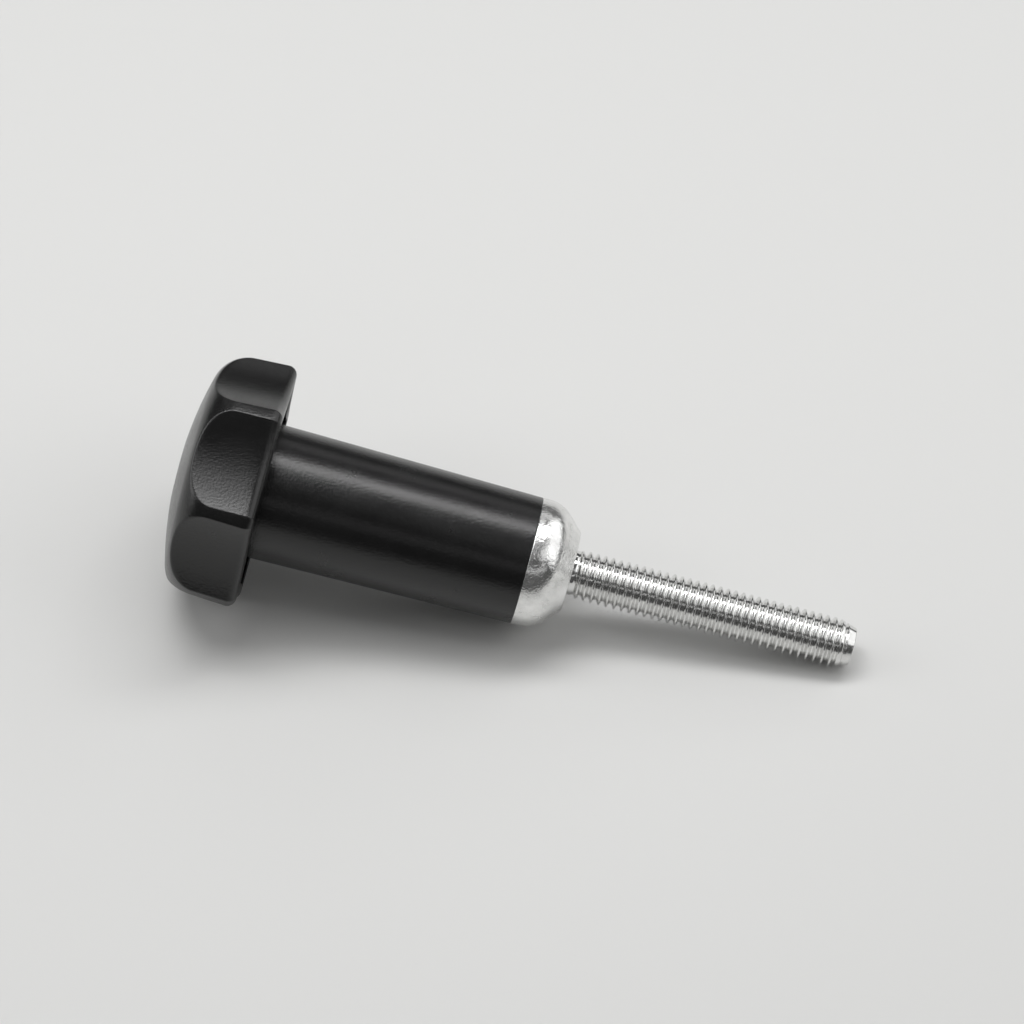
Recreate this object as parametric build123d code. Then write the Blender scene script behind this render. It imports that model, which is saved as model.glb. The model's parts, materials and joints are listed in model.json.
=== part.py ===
from build123d import *
from math import atan2, cos, degrees, pi, radians, sin, sqrt, tan
import os

# Star-knob thumb screw, in millimetres and degrees: a moulded knob with a fluted head and a long hub,
# a steel collar held in the hub's end, and an M8 stud screwed into the collar.
# The pieces are built upright on one axis, head up, with the head's rim at height zero. Then they are
# laid on two lobes of the head and the tip of the stud, as the loose screw comes to rest.

# Head of the knob, with its outline measured at the rim
lobes = 7
head_diameter = 40.2
head_height = 14.0
head_draft = 3.0
flute_depth = 2.6
flute_radius = 30.0
rim_chamfer = 0.9

# Crown of the head
crown_radius = 60.7
crown_flat_diameter = 11.6
shoulder_radius = 5.9

# Cored underside of the head
head_wall = 2.4
core_depth = 9.0
core_draft = 1.5
core_corner_radius = 0.8
rib_thickness = 1.6
rib_recess = 2.0

# Hub of the knob, tapered towards the collar
hub_length = 42.3
hub_end_diameter = 20.4
hub_draft = 0.79

# Nose of the collar, flush with the hub
collar_land = 1.3
nose_radius = 5.0
nose_cone_height = 2.3
nose_angle = 45.0

# Hexagonal shank of the collar, moulded into the hub
anchor_length = 14.0
anchor_across_flats = 13.0

# Stud, at the crest diameter of its rolled M8 thread
stud_diameter = 7.8
stud_length = 46.0
neck_diameter = 7.1
neck_length = 0.8
tip_diameter = 6.0
tip_length = 3.0
thread_clearance = 0.05

# Steps of the search for the resting tilt
rest_steps = 5

# Places a solid with its lowest end at height zero
STANDING = (Align.CENTER, Align.CENTER, Align.MIN)

# Sizes that follow from these
head_radius = head_diameter / 2
floor_radius = head_radius - flute_depth
half_pitch = pi / lobes
hub_end_radius = hub_end_diameter / 2
nose_arc_height = nose_radius * sin(radians(nose_angle))
nose_arc_drop = nose_radius * (1 - cos(radians(nose_angle)))
collar_height = collar_land + nose_arc_height + nose_cone_height
hub_end_level = -hub_length
nose_face_level = hub_end_level - collar_height
anchor_top_level = hub_end_level + anchor_length
stud_end_level = nose_face_level - stud_length


def on_circle(radius, angle):
    """Point at a radius and an angle in radians about the axis."""
    return Vector(radius * cos(angle), radius * sin(angle))


def lobed_face(floor, flute, ridge):
    """Face with concave flutes of one radius between ridges of another, each arc tangent to the next."""
    flute_centre = floor + flute
    reach = flute + ridge
    offset = flute_centre * sin(half_pitch)
    ridge_centre = flute_centre * cos(half_pitch) - sqrt(reach**2 - offset**2)
    edges = []
    for lobe in range(lobes):
        angle = 2 * half_pitch * lobe
        centre = on_circle(ridge_centre, angle)
        before = on_circle(flute_centre, angle - half_pitch)
        after = on_circle(flute_centre, angle + half_pitch)
        following = on_circle(ridge_centre, angle + 2 * half_pitch)
        ridge_start = centre + (before - centre).normalized() * ridge
        ridge_end = centre + (after - centre).normalized() * ridge
        flute_end = following + (after - following).normalized() * ridge
        edges.append(ThreePointArc(ridge_start, on_circle(ridge_centre + ridge, angle), ridge_end))
        edges.append(ThreePointArc(ridge_end, on_circle(floor, angle + half_pitch), flute_end))
    return make_face(edges)


def crown_blank():
    """Round blank of the head: a drafted side, a rounded shoulder and a domed crown with a small flat."""
    draft = radians(head_draft)
    outward = Vector(cos(draft), sin(draft))
    upward = Vector(-sin(draft), cos(draft))
    flat_radius = crown_flat_diameter / 2
    dome_centre = Vector(0, head_height - sqrt(crown_radius**2 - flat_radius**2))
    # The centre of the shoulder arc lies a shoulder radius inside both the side and the dome
    side_reach = head_radius * cos(draft) - shoulder_radius
    dome_reach = crown_radius - shoulder_radius
    rise = sqrt(dome_reach**2 - (side_reach - dome_centre.dot(outward)) ** 2)
    shoulder_centre = outward * side_reach + upward * (dome_centre.dot(upward) + rise)
    side_end = shoulder_centre + outward * shoulder_radius
    dome_way = (shoulder_centre - dome_centre).normalized()
    dome_end = dome_centre + dome_way * crown_radius
    outline = [
        Line((0, 0), (head_radius, 0)),
        Line((head_radius, 0), side_end),
        TangentArc(side_end, dome_end, tangent=upward),
        TangentArc(dome_end, (flat_radius, head_height), tangent=(-dome_way.Y, dome_way.X)),
        Line((flat_radius, head_height), (0, head_height)),
        Line((0, head_height), (0, 0)),
    ]
    return revolve(Plane.XZ * make_face(outline), Axis.Z)


def flutes():
    """Cutters for the flutes, which grow towards the crown by the draft."""
    top_radius = flute_radius + head_height * tan(radians(head_draft))
    cutter = Cone(flute_radius, top_radius, head_height, align=STANDING)
    cutter = Pos(floor_radius + flute_radius, 0, 0) * cutter
    step = degrees(2 * half_pitch)
    return [Rot(0, 0, step * lobe + step / 2) * cutter for lobe in range(lobes)]


def head_solid():
    """Head with flutes cut into the blank and its rim broken by a chamfer, before it is cored."""
    head = crown_blank() - flutes()
    return chamfer(head.edges().group_by(Axis.Z)[0], rim_chamfer)


def core():
    """Hollow of the head, which follows the fluted wall from inside."""
    outline = lobed_face(floor_radius - head_wall, flute_radius + head_wall, core_corner_radius)
    return extrude(outline, core_depth, taper=core_draft)


def ribs():
    """Radial ribs from the axis out to each lobe, set back from the rim."""
    height = core_depth - rib_recess
    rib = Box(head_radius, rib_thickness, height, align=(Align.MIN, Align.CENTER, Align.MIN))
    step = degrees(2 * half_pitch)
    return [Rot(0, 0, step * lobe) * Pos(0, 0, rib_recess) * rib for lobe in range(lobes)]


def anchor():
    """Hexagonal shank of the collar, which cannot turn in the moulding."""
    shank = extrude(RegularPolygon(anchor_across_flats / 2, 6, major_radius=False), anchor_length)
    return Pos(0, 0, hub_end_level) * shank


def make_knob():
    """Head and hub in one moulding, closed round the collar's shank."""
    hollow = core()
    knob = head_solid() - hollow
    length = core_depth + hub_length
    root_radius = hub_end_radius + length * tan(radians(hub_draft))
    hub = Cone(hub_end_radius, root_radius, length, align=STANDING)
    knob += Pos(0, 0, hub_end_level) * hub
    knob += [rib & hollow for rib in ribs()]
    return knob - anchor()


def make_collar():
    """Turned nose on its hexagonal shank, bored through for the stud."""
    cone_radius = hub_end_radius - nose_arc_drop
    face_radius = cone_radius - nose_cone_height * tan(radians(nose_angle))
    land_end = (hub_end_radius, hub_end_level - collar_land)
    cone_start = (cone_radius, nose_face_level + nose_cone_height)
    outline = [
        Line((0, hub_end_level), (hub_end_radius, hub_end_level)),
        Line((hub_end_radius, hub_end_level), land_end),
        TangentArc(land_end, cone_start, tangent=(0, -1)),
        Line(cone_start, (face_radius, nose_face_level)),
        Line((face_radius, nose_face_level), (0, nose_face_level)),
        Line((0, nose_face_level), (0, hub_end_level)),
    ]
    nose = revolve(Plane.XZ * make_face(outline), Axis.Z)
    bore = Cylinder(stud_diameter / 2 + thread_clearance, collar_height + anchor_length, align=STANDING)
    return nose + anchor() - Pos(0, 0, nose_face_level) * bore


def make_stud():
    """Stud from the shank's inner end to its tapered tip, with a plain neck at the collar's face."""
    radius = stud_diameter / 2
    neck_level = nose_face_level - neck_length
    tip_level = stud_end_level + tip_length
    outline = Polyline(
        (0, anchor_top_level),
        (radius, anchor_top_level),
        (radius, nose_face_level),
        (neck_diameter / 2, nose_face_level),
        (neck_diameter / 2, neck_level),
        (radius, neck_level),
        (radius, tip_level),
        (tip_diameter / 2, stud_end_level),
        (0, stud_end_level),
        close=True,
    )
    return revolve(Plane.XZ * make_face(outline), Axis.Z)


def laid(solid, tilt):
    """Solid turned on its side, head at -X and one lobe up, with the stud dipped by the tilt in degrees."""
    angle = radians(tilt)
    side = Plane(origin=(0, 0, 0), x_dir=(sin(angle), 0, cos(angle)), z_dir=(-cos(angle), 0, sin(angle)))
    return side.location * solid


def resting_tilt(knob, stud):
    """Tilt at which the lowest points of the head and the stud lie on one level."""
    reach = -stud_end_level - tip_length
    tilt = 0
    for _ in range(rest_steps):
        drop = laid(stud, tilt).bounding_box().min.Z - laid(knob, tilt).bounding_box().min.Z
        tilt += degrees(atan2(drop, reach))
    return tilt


def main():
    pieces = {"knob": make_knob(), "collar": make_collar(), "stud": make_stud()}
    tilt = resting_tilt(pieces["knob"], pieces["stud"])
    pieces = {name: laid(piece, tilt) for name, piece in pieces.items()}
    box = pieces["knob"].bounding_box()
    for piece in pieces.values():
        box = box.add(piece.bounding_box())
    place = Pos(-box.center().X, -box.center().Y, -box.min.Z)
    os.makedirs("parts", exist_ok=True)
    for name, piece in pieces.items():
        export_step(place * piece, f"parts/{name}.step")
    print("resting tilt", round(tilt, 3))


main()
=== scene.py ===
import json
from math import atan2, cos, pi, radians, sin, sqrt, tan

import bmesh
import bpy
import numpy as np
from mathutils import Matrix, Vector


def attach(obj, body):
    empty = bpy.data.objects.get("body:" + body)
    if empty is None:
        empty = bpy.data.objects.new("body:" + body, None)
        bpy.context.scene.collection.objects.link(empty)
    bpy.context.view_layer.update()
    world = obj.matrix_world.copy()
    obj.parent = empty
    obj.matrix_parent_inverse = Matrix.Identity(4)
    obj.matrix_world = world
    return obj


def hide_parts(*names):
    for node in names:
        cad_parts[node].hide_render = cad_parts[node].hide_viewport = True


# Looks of the star-knob thumb screw. The frame gives the place of the screw. Sizes are in millimetres
# unless a heading says otherwise. They repeat those of the solids, and add the small roundings and the
# thread that the solids leave out. Each piece is meshed upright on one axis, head up, with the head's rim
# at height zero.

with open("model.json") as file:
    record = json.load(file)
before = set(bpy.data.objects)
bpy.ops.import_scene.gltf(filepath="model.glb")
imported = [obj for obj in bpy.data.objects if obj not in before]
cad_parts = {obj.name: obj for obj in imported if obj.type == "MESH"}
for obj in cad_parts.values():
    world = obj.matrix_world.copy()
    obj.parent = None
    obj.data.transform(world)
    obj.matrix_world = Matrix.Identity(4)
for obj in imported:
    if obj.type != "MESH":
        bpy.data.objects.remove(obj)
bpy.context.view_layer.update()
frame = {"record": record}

# Metres in a millimetre
MM = 0.001

# Head of the knob
lobes = 7
head_diameter = 40.2
head_height = 14.0
head_draft = radians(3.0)
flute_depth = 2.6
flute_radius = 30.0
flute_edge_radius = 0.06
rim_radius = 1.6
rim_inner_radius = 0.4
crown_radius = 60.7
crown_flat_diameter = 11.6
shoulder_radius = 5.9

# Cored underside of the head
head_wall = 2.4
core_depth = 9.0
core_draft = radians(1.5)
core_corner_radius = 0.8
core_root_radius = 0.4
rib_thickness = 1.6
rib_recess = 2.0
rib_edge_radius = 0.3
rib_overlap = 0.3

# Hub of the knob
hub_length = 42.3
hub_end_diameter = 20.4
hub_draft = radians(0.79)
hub_root_radius = 0.6
hub_edge_radius = 0.12

# Collar
collar_land = 1.3
nose_radius = 5.0
nose_cone_height = 2.3
nose_angle = radians(45.0)
nose_edge_radius = 0.3
land_edge_radius = 0.12
anchor_sides = 6
anchor_length = 14.0
anchor_across_flats = 13.0
thread_clearance = 0.05
bore_edge = 0.25

# Stud and its rolled right-hand thread, with the thread's section in shares of the pitch from a crest
stud_diameter = 7.8
stud_length = 46.0
neck_diameter = 7.1
neck_length = 0.8
tip_diameter = 6.0
tip_length = 3.0
tip_edge_radius = 0.2
thread_pitch = 1.25
thread_root_diameter = 6.4
thread_start = 0.55
thread_full = 1.6
thread_phase = -51.99
crest_share = 0.07
root_share = 0.42
rounding_share = 0.4

# Layout of the meshes: end of the dome's rings, start of the rays, close columns at a land, rings on flats
dome_share = 0.62
cast_share = 0.2
land_angle = radians(5.4)
pole_ring_radius = 1.0
tip_ring_shares = (0.8, 0.5, 0.2)

# Counts of mesh rows and columns, and of halvings in the search for the head's surface
land_steps = 44
flute_steps = 40
round_steps = 6
fine_round_steps = 10
nose_steps = 18
wall_rows = 4
crown_rows = 8
shoulder_rows = 48
flat_rows = 4
cone_rows = 8
hub_rows = 8
collar_columns = 256
stud_columns = 128
thread_rows = 14
search_steps = 40

# Smallest turn in radians that a rounding is spread over, and distance in metres at which points merge
smallest_turn = 1e-6
merge_distance = 1e-7

# Moulded plastic: noises with their scale per metre, bump depths in metres, and the range of its patches
plastic_grain = {"scale": 2700, "detail": 3.0, "roughness": 0.6}
plastic_waves = {"scale": 420, "detail": 2.0, "roughness": 0.5}
plastic_patches = {"scale": 160, "detail": 4.0, "roughness": 0.6}
plastic_grain_depth = 4.2e-5
plastic_wave_depth = 6e-6
plastic_greys = (0.003, 0.005)
plastic_roughness = (0.22, 0.28)
plastic_refraction = 1.54
patch_shares = (0.3, 0.7)

# Zinc plate: the noises that collar and stud have in common, and the finish of each, dull to bright
zinc_clouds = {"scale": 420, "detail": 5.0, "roughness": 0.65}
zinc_waves = {"scale": 900, "detail": 3.0, "roughness": 0.55}
zinc_grain = {"scale": 2600, "detail": 2.0, "roughness": 0.5}
cloud_shares = (0.35, 0.65)
collar_finish = {
    "colours": ((0.74, 0.74, 0.73), (0.89, 0.89, 0.88)),
    "roughness": (0.30, 0.16),
    "wave_depth": 4e-5,
    "grain_depth": 4e-5,
}
stud_finish = {
    "colours": ((0.69, 0.69, 0.68), (0.82, 0.82, 0.81)),
    "roughness": (0.20, 0.11),
    "wave_depth": 4e-6,
    "grain_depth": 3e-6,
}

# Floor, lamps and world, in metres and watts
floor_reach = 3.0
floor_colour = (0.68, 0.68, 0.67, 1)
floor_roughness = 0.6
light_target = (0, 0, 0.015)
softboxes = {
    "overhead_softbox": {"place": (-0.06, 0.185, 0.57), "width": 0.7, "height": 0.14, "power": 2.0},
    "back_softbox": {"place": (-0.11, 0.5, 0.31), "width": 0.6, "height": 0.1, "power": 0.2},
    "left_softbox": {"place": (-0.55, -0.05, 0.30), "width": 0.4, "height": 0.5, "power": 1.2},
    "right_softbox": {"place": (0.50, 0.22, 0.37), "width": 1.0, "height": 0.5, "power": 1.8},
    "top_softbox": {"place": (-0.12, 0.03, 0.58), "width": 0.28, "height": 0.25, "power": 0.64},
    "front_softbox": {"place": (0.31, -0.12, 0.54), "width": 0.40, "height": 0.29, "power": 0.24},
    "fill_softbox": {"place": (0.07, -0.47, 0.39), "width": 1.0, "height": 0.05, "power": 0.14},
}
world_grey = 0.08

# Camera, with its places in metres and its lens and sensor in millimetres
camera_azimuth = radians(8.941)
camera_elevation = radians(53.507)
camera_roll = radians(2.466)
camera_distance = 0.65
camera_target_height = 0.012
camera_offset_right = -0.0004975
camera_offset_up = 0.0070666
camera_lens = 145.31
camera_sensor = 36.0
camera_clip_start = 0.01

# Sizes that follow from these
head_radius = head_diameter / 2
floor_radius = head_radius - flute_depth
half_pitch = pi / lobes
hub_end_radius = hub_end_diameter / 2
nose_arc_height = nose_radius * sin(nose_angle)
nose_arc_drop = nose_radius * (1 - cos(nose_angle))
hub_end_level = -hub_length
nose_face_level = hub_end_level - collar_land - nose_arc_height - nose_cone_height
anchor_top_level = hub_end_level + anchor_length
stud_end_level = nose_face_level - stud_length
bore_radius = stud_diameter / 2 + thread_clearance

# Place of the screw, from the mount at the middle of the thread
stud_mount = next(mount for mount in frame["record"]["mounts"] if mount["name"] == "threaded_stud")
to_tip = Vector(stud_mount["axis"]).normalized()
mount_level = (nose_face_level - neck_length + stud_end_level + tip_length) / 2
axis_up = -to_tip
side_way = Vector((0, 1, 0))
lobe_way = side_way.cross(axis_up)
rim_centre = Vector(stud_mount["pos_m"]) - axis_up * (mount_level * MM)
PLACE = np.array([lobe_way, side_way, axis_up])
ORIGIN = np.array(rim_centre)


def placed(points):
    """Points on the upright axis in millimetres, as points of the frame in metres."""
    return np.asarray(points, float) * MM @ PLACE + ORIGIN


def slerp(start, end, steps):
    """Unit vectors turned from start to end, one row for each step, both ends included."""
    turn = np.arccos(np.clip((start * end).sum(-1, keepdims=True), -1, 1))
    turn = np.maximum(turn, smallest_turn)
    return [
        (np.sin((1 - share) * turn) * start + np.sin(share * turn) * end) / np.sin(turn)
        for share in np.linspace(0, 1, steps + 1)
    ]


def with_height(plane_points, height):
    """Plane points lifted to a height, which is one number or one for each point."""
    return np.column_stack([plane_points, np.broadcast_to(height, len(plane_points))])


def spread(start, end, steps):
    """Rows of points from start to end, both ends included."""
    return [start + (end - start) * share for share in np.linspace(0, 1, steps + 1)]


def around(angles):
    """Unit vectors at angles about the axis."""
    return np.column_stack([np.cos(angles), np.sin(angles)])


def column_angles():
    """Angles of the head's mesh columns, close together on and beside the lands between the flutes."""
    angles = []
    for lobe in range(lobes):
        ahead = 2 * half_pitch * lobe
        angles += np.linspace(ahead - land_angle, ahead + land_angle, land_steps, endpoint=False).tolist()
        following = ahead + 2 * half_pitch - land_angle
        angles += np.linspace(ahead + land_angle, following, flute_steps, endpoint=False).tolist()
    return np.array(angles)


def from_lobe(angles):
    """Angles as measured from the middle of the nearest lobe."""
    return np.mod(angles + half_pitch, 2 * half_pitch) - half_pitch


def core_outline(angles):
    """Points of the core's outline at the rim, at angles about the axis, with their outward normals."""
    flute = flute_radius + head_wall
    corner = core_corner_radius
    flute_centre = floor_radius - head_wall + flute
    offset = flute_centre * sin(half_pitch)
    corner_centre = flute_centre * cos(half_pitch) - sqrt((flute + corner) ** 2 - offset**2)
    lean = atan2(offset, flute_centre * cos(half_pitch) - corner_centre)
    join = atan2(corner * sin(lean), corner_centre + corner * cos(lean))
    away = from_lobe(angles)
    middle = angles - away + np.where(away < 0, -half_pitch, half_pitch)
    on_corner = np.abs(away) < join
    centre_angle = np.where(on_corner, angles - away, middle)
    centre_reach = np.where(on_corner, corner_centre, flute_centre)
    turn = angles - centre_angle
    chord = np.sqrt(np.where(on_corner, corner, flute) ** 2 - (centre_reach * np.sin(turn)) ** 2)
    reach = centre_reach * np.cos(turn) + np.where(on_corner, chord, -chord)
    points = reach[:, None] * around(angles)
    centres = centre_reach[:, None] * around(centre_angle)
    normals = np.where(on_corner[:, None], (points - centres) / corner, (centres - points) / flute)
    return points, normals


def rounded_meet(first, second, radius):
    """Distance to the common part of two bodies, from the distances to each, with their edge rounded."""
    first = first + radius
    second = second + radius
    outside = np.hypot(np.maximum(first, 0), np.maximum(second, 0))
    return outside + np.minimum(np.maximum(first, second), 0) - radius


class Head:
    """Distance field of the head: a turned blank with flutes cut into it and a rounded rim."""

    def __init__(self):
        self.side_way = np.array([cos(head_draft), sin(head_draft)])
        self.up_way = np.array([-sin(head_draft), cos(head_draft)])
        self.flat = crown_flat_diameter / 2
        self.dome_level = head_height - sqrt(crown_radius**2 - self.flat**2)
        # The centre of the shoulder arc lies a shoulder radius inside both the side and the dome
        side_reach = head_radius * cos(head_draft) - shoulder_radius
        dome_reach = crown_radius - shoulder_radius
        rise = sqrt(dome_reach**2 - (side_reach - self.dome_level * sin(head_draft)) ** 2)
        self.shoulder = self.side_way * side_reach + self.up_way * (self.dome_level * cos(head_draft) + rise)
        self.dome_way = (self.shoulder - np.array([0, self.dome_level])) / dome_reach

    def dome_height(self, radius):
        """Height of the dome at a radius."""
        return self.dome_level + np.sqrt(crown_radius**2 - radius**2)

    def blank(self, radius, height):
        """Distance to the turned blank."""
        side = (radius - head_radius) * self.side_way[0] + height * self.side_way[1]
        dome = np.hypot(radius, height - self.dome_level) - crown_radius
        across = radius - self.shoulder[0]
        along = height - self.shoulder[1]
        above_side = across * self.up_way[0] + along * self.up_way[1] > 0
        outside_dome = across * self.dome_way[1] - along * self.dome_way[0] > 0
        arc = np.hypot(across, along) - shoulder_radius
        body = np.where(above_side & outside_dome, arc, np.maximum(side, dome))
        return np.maximum(body, height - head_height)

    def flute(self, angles, radius, height):
        """Distance to what the nearest flute leaves. Its floor leans inward to the crown by the draft."""
        turn = half_pitch - np.abs(from_lobe(angles))
        reach = np.hypot(radius * np.cos(turn) - floor_radius - flute_radius, radius * np.sin(turn))
        return (flute_radius - reach) * cos(head_draft) + height * sin(head_draft)

    def distance(self, angles, radius, height):
        """Distance to the fluted head with its edges rounded."""
        wall = rounded_meet(self.blank(radius, height), self.flute(angles, radius, height), flute_edge_radius)
        return rounded_meet(wall, -height, rim_radius)

    def cast(self, angles, level, rise):
        """Points where rays from a level on the axis leave the head, one for each angle about the axis."""
        near = np.zeros(len(angles))
        far = np.full(len(angles), 2 * head_radius)
        for _ in range(search_steps):
            middle = (near + far) / 2
            outside = self.distance(angles, middle * cos(rise), level + middle * sin(rise)) > 0
            far = np.where(outside, middle, far)
            near = np.where(outside, near, middle)
        return with_height((near * cos(rise))[:, None] * around(angles), level + near * sin(rise))


def rows_to_mesh(name, rows, closed=False, first_pole=None, last_pole=None):
    """Mesh of quads between rows of points, each row a closed ring, with triangles to the poles."""
    count = len(rows[0])
    points = np.concatenate(rows)
    faces = []
    following = np.roll(np.arange(count), -1)
    pairs = list(zip(range(len(rows) - 1), range(1, len(rows))))
    if closed:
        pairs.append((len(rows) - 1, 0))
    for this, other in pairs:
        here = this * count + np.arange(count)
        beside = this * count + following
        there_beside = other * count + following
        there = other * count + np.arange(count)
        faces += np.column_stack([here, beside, there_beside, there]).tolist()
    for pole, row in ((first_pole, 0), (last_pole, len(rows) - 1)):
        if pole is not None:
            points = np.vstack([points, pole])
            apex = np.full(count, len(points) - 1)
            ring = row * count
            faces += np.column_stack([apex, ring + np.arange(count), ring + following]).tolist()
    mesh = bpy.data.meshes.new(name)
    mesh.from_pydata(placed(points).tolist(), [], faces)
    return mesh


def tidy_mesh(mesh):
    """Merges doubled points and turns all faces outward."""
    edit = bmesh.new()
    edit.from_mesh(mesh)
    bmesh.ops.remove_doubles(edit, verts=edit.verts, dist=merge_distance)
    bmesh.ops.dissolve_degenerate(edit, edges=edit.edges, dist=merge_distance)
    bmesh.ops.recalc_face_normals(edit, faces=edit.faces)
    edit.to_mesh(mesh)
    edit.free()


def add_piece(name, mesh, material, node):
    """Object for a mesh that stands for a CAD node and rides on the one body."""
    mesh.shade_smooth()
    piece = bpy.data.objects.new(name, mesh)
    bpy.context.scene.collection.objects.link(piece)
    mesh.materials.append(material)
    weights = piece.modifiers.new("weighted_normals", "WEIGHTED_NORMAL")
    weights.keep_sharp = True
    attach(piece, "root")
    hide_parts(node)


def hub_radius(level):
    """Radius of the tapered hub at a level."""
    return hub_end_radius + (level + hub_length) * tan(hub_draft)


def hexagon_radius(angles):
    """Radius of the hexagonal shank at angles about the axis."""
    sector = 2 * pi / anchor_sides
    return anchor_across_flats / 2 / np.cos(np.mod(angles, sector) - sector / 2)


def head_rows(angles):
    """Rows of the head from the crown's flat over the rim to the ceiling of the core."""
    head = Head()
    way = around(angles)
    flat_radii = np.linspace(pole_ring_radius, head.flat, flat_rows)
    rows = [with_height(way * radius, head_height) for radius in flat_radii]
    dome_part = head_radius * dome_share
    for radius in np.linspace(head.flat, dome_part, crown_rows + 1)[1:]:
        rows.append(with_height(way * radius, head.dome_height(radius)))

    # Shoulder and fluted wall, by rays from the axis, then the rounded rim
    cast_level = head_height * cast_share
    dome_rise = atan2(head.dome_height(dome_part) - cast_level, dome_part)
    rows += [head.cast(angles, cast_level, rise) for rise in np.linspace(dome_rise, 0, shoulder_rows + 1)[1:]]
    for turn in np.linspace(0, pi / 2, fine_round_steps + 1):
        rows.append(head.cast(angles, rim_radius * (1 - sin(turn)), 0))

    # Inner edge of the rim, wall of the core and its rounded root
    core_line, core_out = core_outline(angles)
    slope = tan(core_draft)
    core_normal = with_height(core_out * cos(core_draft), sin(core_draft))
    down = np.broadcast_to([0.0, 0.0, -1.0], core_normal.shape)
    shift = rim_inner_radius / cos(core_draft) - rim_inner_radius * slope
    inner_ball = with_height(core_line + core_out * shift, rim_inner_radius)
    inner_rows = [inner_ball + rim_inner_radius * normal for normal in slerp(down, -core_normal, round_steps)]
    rows += spread(rows[-1], inner_rows[0], flat_rows)[1:-1]
    rows += inner_rows
    root_level = core_depth - core_root_radius
    shift = root_level * slope + core_root_radius / cos(core_draft)
    root_ball = with_height(core_line - core_out * shift, root_level)
    root_rows = [root_ball + core_root_radius * normal for normal in slerp(core_normal, -down, round_steps)]
    rows += spread(inner_rows[-1], root_rows[0], wall_rows)[1:-1]
    rows += root_rows
    return rows


def add_ribs(mesh):
    """Adds the radial ribs of the core, from inside the hub to inside the wall, one behind each lobe."""
    core_line, _ = core_outline(np.zeros(1))
    inner = hub_radius(0) - rib_overlap
    outer = np.hypot(*core_line.T).max() + rib_overlap
    half = rib_thickness / 2 - rib_edge_radius
    level = rib_recess + rib_edge_radius
    section = [(rib_thickness / 2, core_depth + rib_overlap)]
    for side, start in ((1, 0), (-1, pi / 2)):
        for turn in np.linspace(start, start + pi / 2, round_steps + 1):
            section.append((side * half + rib_edge_radius * cos(turn), level - rib_edge_radius * sin(turn)))
    section.append((-rib_thickness / 2, core_depth + rib_overlap))
    edit = bmesh.new()
    edit.from_mesh(mesh)
    for lobe in range(lobes):
        ahead = 2 * half_pitch * lobe
        turn = np.array([[cos(ahead), sin(ahead), 0], [-sin(ahead), cos(ahead), 0], [0, 0, 1]])
        ends = []
        for reach in (inner, outer):
            points = np.array([(reach, across, height) for across, height in section]) @ turn
            ends.append([edit.verts.new(point) for point in placed(points)])
        for corner in range(len(section)):
            edit.faces.new((ends[0][corner - 1], ends[0][corner], ends[1][corner], ends[1][corner - 1]))
        for end in ends:
            edit.faces.new(end)
    edit.to_mesh(mesh)
    edit.free()


def make_knob(material):
    """Head, hub and ribs of the moulding, closed round the collar's shank."""
    angles = column_angles()
    way = around(angles)
    rows = head_rows(angles)

    def ring(radius, level):
        return with_height(way * np.reshape(radius, (-1, 1)), level)

    # Hub with a rounded root and end
    root_level = core_depth - hub_root_radius
    root_reach = hub_radius(root_level) + hub_root_radius / cos(hub_draft)
    hub_rings = []
    for turn in np.linspace(pi / 2, pi + hub_draft, round_steps + 1):
        radius = root_reach + hub_root_radius * cos(turn)
        hub_rings.append(ring(radius, root_level + hub_root_radius * sin(turn)))
    rows += spread(rows[-1], hub_rings[0], flat_rows)[1:-1]
    rows += hub_rings
    edge_level = hub_end_level + hub_edge_radius
    for level in np.linspace(root_level, edge_level, hub_rows + 1)[1:]:
        rows.append(ring(hub_radius(level), level))
    edge_reach = hub_radius(edge_level) - hub_edge_radius
    for turn in np.linspace(0, pi / 2, round_steps + 1)[1:]:
        radius = edge_reach + hub_edge_radius * cos(turn)
        rows.append(ring(radius, edge_level - hub_edge_radius * sin(turn)))

    # Recess for the collar's shank
    hexagon = hexagon_radius(angles)
    rows += spread(rows[-1], ring(hexagon, hub_end_level), flat_rows)[1:]
    rows += spread(rows[-1], ring(hexagon, anchor_top_level), flat_rows)[1:]
    crown_pole = (0, 0, head_height)
    recess_pole = (0, 0, anchor_top_level)
    mesh = rows_to_mesh("knob_moulding", rows, first_pole=crown_pole, last_pole=recess_pole)
    add_ribs(mesh)
    tidy_mesh(mesh)
    add_piece("knob_moulding", mesh, material, "knob")


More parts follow.
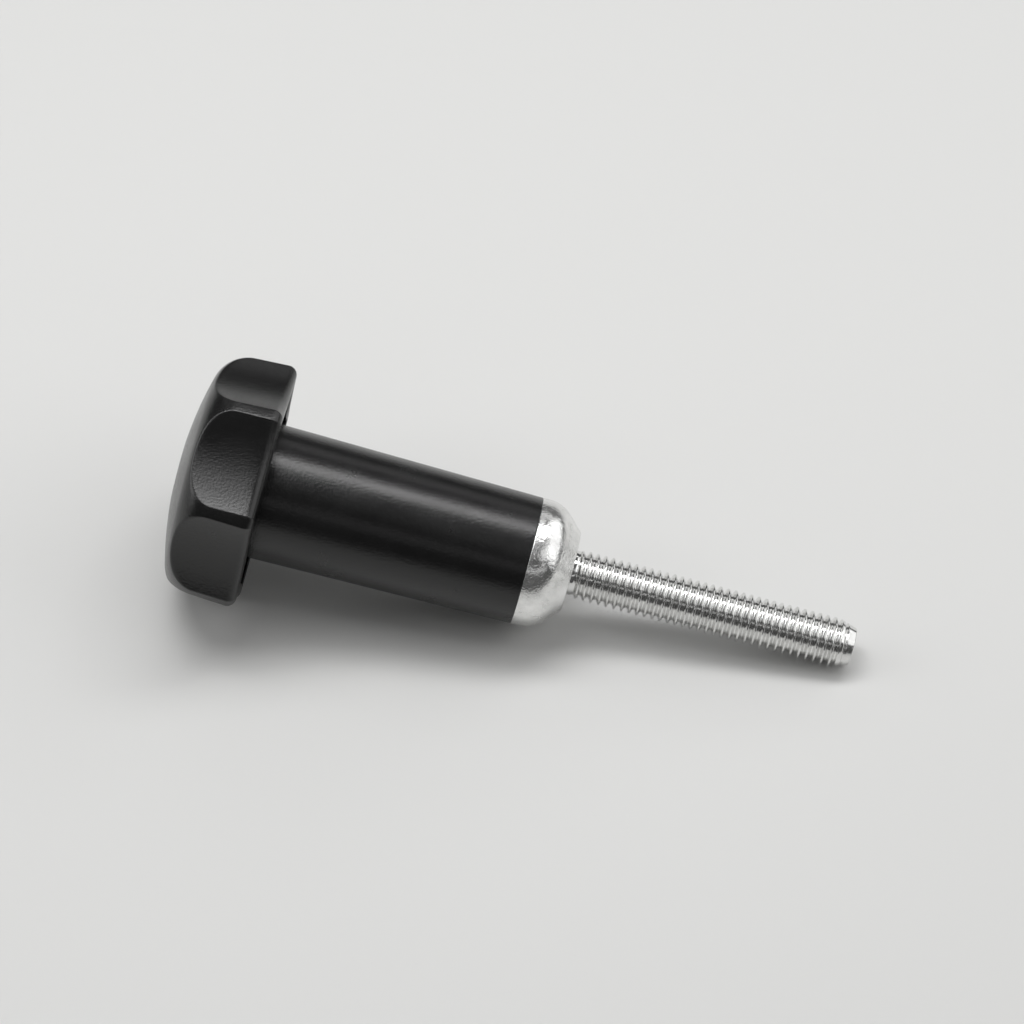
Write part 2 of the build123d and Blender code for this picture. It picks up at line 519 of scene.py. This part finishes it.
def make_collar(material):
    """Turned nose on its hexagonal shank, with the bore that the stud is screwed into."""
    angles = np.linspace(0, 2 * pi, collar_columns, endpoint=False)
    way = around(angles)
    hexagon = hexagon_radius(angles)
    rows = []

    def ring(radius, level):
        rows.append(with_height(way * np.reshape(radius, (-1, 1)), level))

    def rounded(centre_radius, centre_level, radius, start, end, steps):
        for turn in np.linspace(start, end, steps + 1):
            ring(centre_radius + radius * cos(turn), centre_level - radius * sin(turn))

    # Shank, shoulder against the hub, land and rounded nose
    ring(bore_radius, anchor_top_level)
    ring(hexagon, anchor_top_level)
    for level in np.linspace(anchor_top_level, hub_end_level, flat_rows + 1)[1:]:
        ring(hexagon, level)
    edge_reach = hub_end_radius - land_edge_radius
    for share in np.linspace(0, 1, flat_rows + 1)[1:-1]:
        ring(hexagon + (edge_reach - hexagon) * share, hub_end_level)
    rounded(edge_reach, hub_end_level - land_edge_radius, land_edge_radius, -pi / 2, 0, round_steps)
    land_end = hub_end_level - collar_land
    for level in np.linspace(hub_end_level - land_edge_radius, land_end, flat_rows + 1)[1:-1]:
        ring(hub_end_radius, level)
    rounded(hub_end_radius - nose_radius, land_end, nose_radius, 0, nose_angle, nose_steps)

    # Cone, and the rounded edge between the cone and the face
    cone_start_radius = hub_end_radius - nose_arc_drop
    face_radius = cone_start_radius - nose_cone_height * tan(nose_angle)
    back_off = nose_edge_radius * tan((pi / 2 - nose_angle) / 2)
    edge_level = nose_face_level + nose_edge_radius
    edge_centre = face_radius - back_off
    contact_radius = edge_centre + nose_edge_radius * cos(nose_angle)
    contact_level = edge_level - nose_edge_radius * sin(nose_angle)
    cone_start_level = nose_face_level + nose_cone_height
    for share in np.linspace(0, 1, cone_rows + 1)[1:-1]:
        radius = cone_start_radius + (contact_radius - cone_start_radius) * share
        ring(radius, cone_start_level + (contact_level - cone_start_level) * share)
    rounded(edge_centre, edge_level, nose_edge_radius, nose_angle, pi / 2, round_steps)

    # Face and bore
    for share in np.linspace(0, 1, flat_rows + 1)[1:]:
        ring(edge_centre + (bore_radius + bore_edge - edge_centre) * share, nose_face_level)
    ring(bore_radius, nose_face_level + bore_edge)
    for level in np.linspace(nose_face_level + bore_edge, anchor_top_level, flat_rows + 1)[1:-1]:
        ring(bore_radius, level)
    mesh = rows_to_mesh("collar_nose", rows, closed=True)
    tidy_mesh(mesh)
    add_piece("collar_nose", mesh, material, "collar")


def thread_radius(phase, level):
    """Radius of the stud at a share of the pitch from a crest and at a level on the axis."""
    away = np.abs(phase - np.round(phase))
    fall = np.clip((away - crest_share) / (root_share - crest_share), 0, 1)
    # A smooth step, mixed in, rounds the edges of crest and root
    eased = fall * fall * (3 - 2 * fall)
    fall = fall + (eased - fall) * rounding_share
    crest = stud_diameter / 2
    radius = crest + (thread_root_diameter / 2 - crest) * fall
    started = np.clip((nose_face_level - level - thread_start) / (thread_full - thread_start), 0, 1)
    radius = neck_diameter / 2 + (radius - neck_diameter / 2) * started
    taper = np.clip((stud_end_level + tip_length - level) / tip_length, 0, 1)
    return np.minimum(radius, crest + (tip_diameter / 2 - crest) * taper)


def make_stud(material):
    """Stud with a helical thread whose mesh rows run along the helix."""
    angles = np.linspace(0, 2 * pi, stud_columns, endpoint=False)
    way = around(angles)
    low_level = stud_end_level + tip_edge_radius
    turns = angles / (2 * pi)
    first = int(np.floor((low_level - thread_phase) / thread_pitch - 1)) * thread_rows
    last = int(np.ceil((nose_face_level - thread_phase) / thread_pitch)) * thread_rows
    edit = bmesh.new()
    grid = []
    for row in range(first, last + 1):
        share = row / thread_rows
        level = np.clip(thread_phase + thread_pitch * (share + turns), low_level, nose_face_level)
        radius = thread_radius(np.full(stud_columns, share), level)
        points = placed(with_height(way * radius[:, None], level))
        grid.append([edit.verts.new(point) for point in points])

    def quad(*corners):
        edit.faces.new(corners)

    # The last column of a row meets the first column of the row that is a whole turn ahead
    for row in range(len(grid) - 1):
        for column in range(stud_columns - 1):
            quad(grid[row][column], grid[row][column + 1], grid[row + 1][column + 1], grid[row + 1][column])
        if row + 1 + thread_rows < len(grid):
            ahead = row + thread_rows
            quad(grid[row][-1], grid[ahead][0], grid[ahead + 1][0], grid[row + 1][-1])

    # Plain rings: the tip's rounded edge and face, and the end inside the collar
    def ring(radius, level):
        return [edit.verts.new(point) for point in placed(with_height(way * radius, level))]

    low_radius = float(thread_radius(np.array([0.0]), np.array([low_level]))[0])
    tip_face_radius = low_radius - tip_edge_radius
    tip = [ring(low_radius, low_level)]
    for turn in np.linspace(0, pi / 2, round_steps + 1)[1:]:
        radius = tip_face_radius + tip_edge_radius * cos(turn)
        tip.append(ring(radius, low_level - tip_edge_radius * sin(turn)))
    tip += [ring(tip_face_radius * share, stud_end_level) for share in tip_ring_shares]
    inside = [ring(neck_diameter / 2, nose_face_level), ring(stud_diameter / 2, nose_face_level)]
    inside.append(ring(stud_diameter / 2, anchor_top_level))
    for rings in (tip, inside):
        for this, other in zip(rings, rings[1:]):
            for column in range(stud_columns):
                quad(this[column - 1], this[column], other[column], other[column - 1])
        quad(*rings[-1])
    mesh = bpy.data.meshes.new("threaded_stud")
    edit.to_mesh(mesh)
    edit.free()
    tidy_mesh(mesh)
    add_piece("threaded_stud", mesh, material, "stud")


class Nodes:
    """Short names for building a material's node tree."""

    def __init__(self, name):
        self.material = bpy.data.materials.new(name)
        self.material.use_nodes = True
        self.tree = self.material.node_tree
        self.shader = self.tree.nodes["Principled BSDF"]

    def link(self, source, target):
        """Link from an output to an input."""
        self.tree.links.new(source, target)

    def noise(self, scale, detail, roughness):
        """Noise in the object's own space."""
        node = self.tree.nodes.new("ShaderNodeTexNoise")
        node.inputs["Scale"].default_value = scale
        node.inputs["Detail"].default_value = detail
        node.inputs["Roughness"].default_value = roughness
        place = self.tree.nodes.new("ShaderNodeTexCoord").outputs["Object"]
        self.link(place, node.inputs["Vector"])
        return node.outputs["Fac"]

    def ramp(self, source, shares, values):
        """Ramp between two greys or colours over the part of the source's range between two shares."""
        node = self.tree.nodes.new("ShaderNodeValToRGB")
        for element, share, value in zip(node.color_ramp.elements, shares, values):
            element.position = share
            element.color = (value, value, value, 1) if isinstance(value, float) else (*value, 1)
        self.link(source, node.inputs["Fac"])
        return node.outputs["Color"]

    def bump(self, source, depth, before=None):
        """Normal bumped by a noise, on top of the normal before it."""
        node = self.tree.nodes.new("ShaderNodeBump")
        node.inputs["Strength"].default_value = 1.0
        node.inputs["Distance"].default_value = depth
        self.link(source, node.inputs["Height"])
        if before is not None:
            self.link(before, node.inputs["Normal"])
        return node.outputs["Normal"]


def black_plastic():
    """Matt moulded plastic: a fine spark-eroded grain over slight waves."""
    nodes = Nodes("black_plastic")
    shader = nodes.shader
    patches = nodes.noise(**plastic_patches)
    nodes.link(nodes.ramp(patches, patch_shares, plastic_greys), shader.inputs["Base Color"])
    nodes.link(nodes.ramp(patches, patch_shares, plastic_roughness), shader.inputs["Roughness"])
    normal = nodes.bump(nodes.noise(**plastic_waves), plastic_wave_depth)
    normal = nodes.bump(nodes.noise(**plastic_grain), plastic_grain_depth, normal)
    nodes.link(normal, shader.inputs["Normal"])
    shader.inputs["IOR"].default_value = plastic_refraction
    return nodes.material


def zinc(name, colours, roughness, wave_depth, grain_depth):
    """Bright zinc plate with cloudy gloss and fine unevenness."""
    nodes = Nodes(name)
    shader = nodes.shader
    clouds = nodes.noise(**zinc_clouds)
    nodes.link(nodes.ramp(clouds, cloud_shares, colours), shader.inputs["Base Color"])
    nodes.link(nodes.ramp(clouds, cloud_shares, roughness), shader.inputs["Roughness"])
    normal = nodes.bump(nodes.noise(**zinc_waves), wave_depth)
    normal = nodes.bump(nodes.noise(**zinc_grain), grain_depth, normal)
    nodes.link(normal, shader.inputs["Normal"])
    shader.inputs["Metallic"].default_value = 1.0
    return nodes.material


def make_floor():
    """Plain pale floor under the screw."""
    mesh = bpy.data.meshes.new("floor")
    near = -floor_reach
    far = floor_reach
    mesh.from_pydata([(near, near, 0), (far, near, 0), (far, far, 0), (near, far, 0)], [], [(0, 1, 2, 3)])
    floor = bpy.data.objects.new("floor", mesh)
    bpy.context.scene.collection.objects.link(floor)
    nodes = Nodes("pale_floor")
    nodes.shader.inputs["Base Color"].default_value = floor_colour
    nodes.shader.inputs["Roughness"].default_value = floor_roughness
    mesh.materials.append(nodes.material)


def add_softbox(name, place, width, height, power):
    """Rectangular area light aimed at the screw."""
    light = bpy.data.lights.new(name, "AREA")
    light.shape = "RECTANGLE"
    light.size = width
    light.size_y = height
    light.energy = power
    lamp = bpy.data.objects.new(name, light)
    bpy.context.scene.collection.objects.link(lamp)
    lamp.location = place
    lamp.rotation_euler = (Vector(light_target) - Vector(place)).to_track_quat("-Z", "Y").to_euler()


def set_world():
    """Even grey light from all sides."""
    world = bpy.data.worlds.new("studio")
    world.use_nodes = True
    background = world.node_tree.nodes["Background"]
    background.inputs["Color"].default_value = (world_grey, world_grey, world_grey, 1)
    bpy.context.scene.world = world


def add_camera():
    """Camera at the photograph's view, looking down on the screw from the side with a slight roll."""
    flat = cos(camera_elevation)
    back = Vector((sin(camera_azimuth) * flat, -cos(camera_azimuth) * flat, sin(camera_elevation)))
    level = Vector((cos(camera_azimuth), sin(camera_azimuth), 0))
    upright = back.cross(level)
    right = level * cos(camera_roll) + upright * sin(camera_roll)
    up = back.cross(right)
    target = right * camera_offset_right + up * camera_offset_up + Vector((0, 0, camera_target_height))
    data = bpy.data.cameras.new("camera")
    data.sensor_width = camera_sensor
    data.lens = camera_lens
    data.clip_start = camera_clip_start
    camera = bpy.data.objects.new("camera", data)
    bpy.context.scene.collection.objects.link(camera)
    turn = Matrix((right, up, back)).transposed().to_4x4()
    camera.matrix_world = Matrix.Translation(target + back * camera_distance) @ turn
    bpy.context.scene.camera = camera


make_knob(black_plastic())
make_collar(zinc("collar_zinc", **collar_finish))
make_stud(zinc("stud_zinc", **stud_finish))
make_floor()
for name, softbox in softboxes.items():
    add_softbox(name, **softbox)
set_world()
add_camera()
bpy.context.scene.view_settings.view_transform = "Standard"
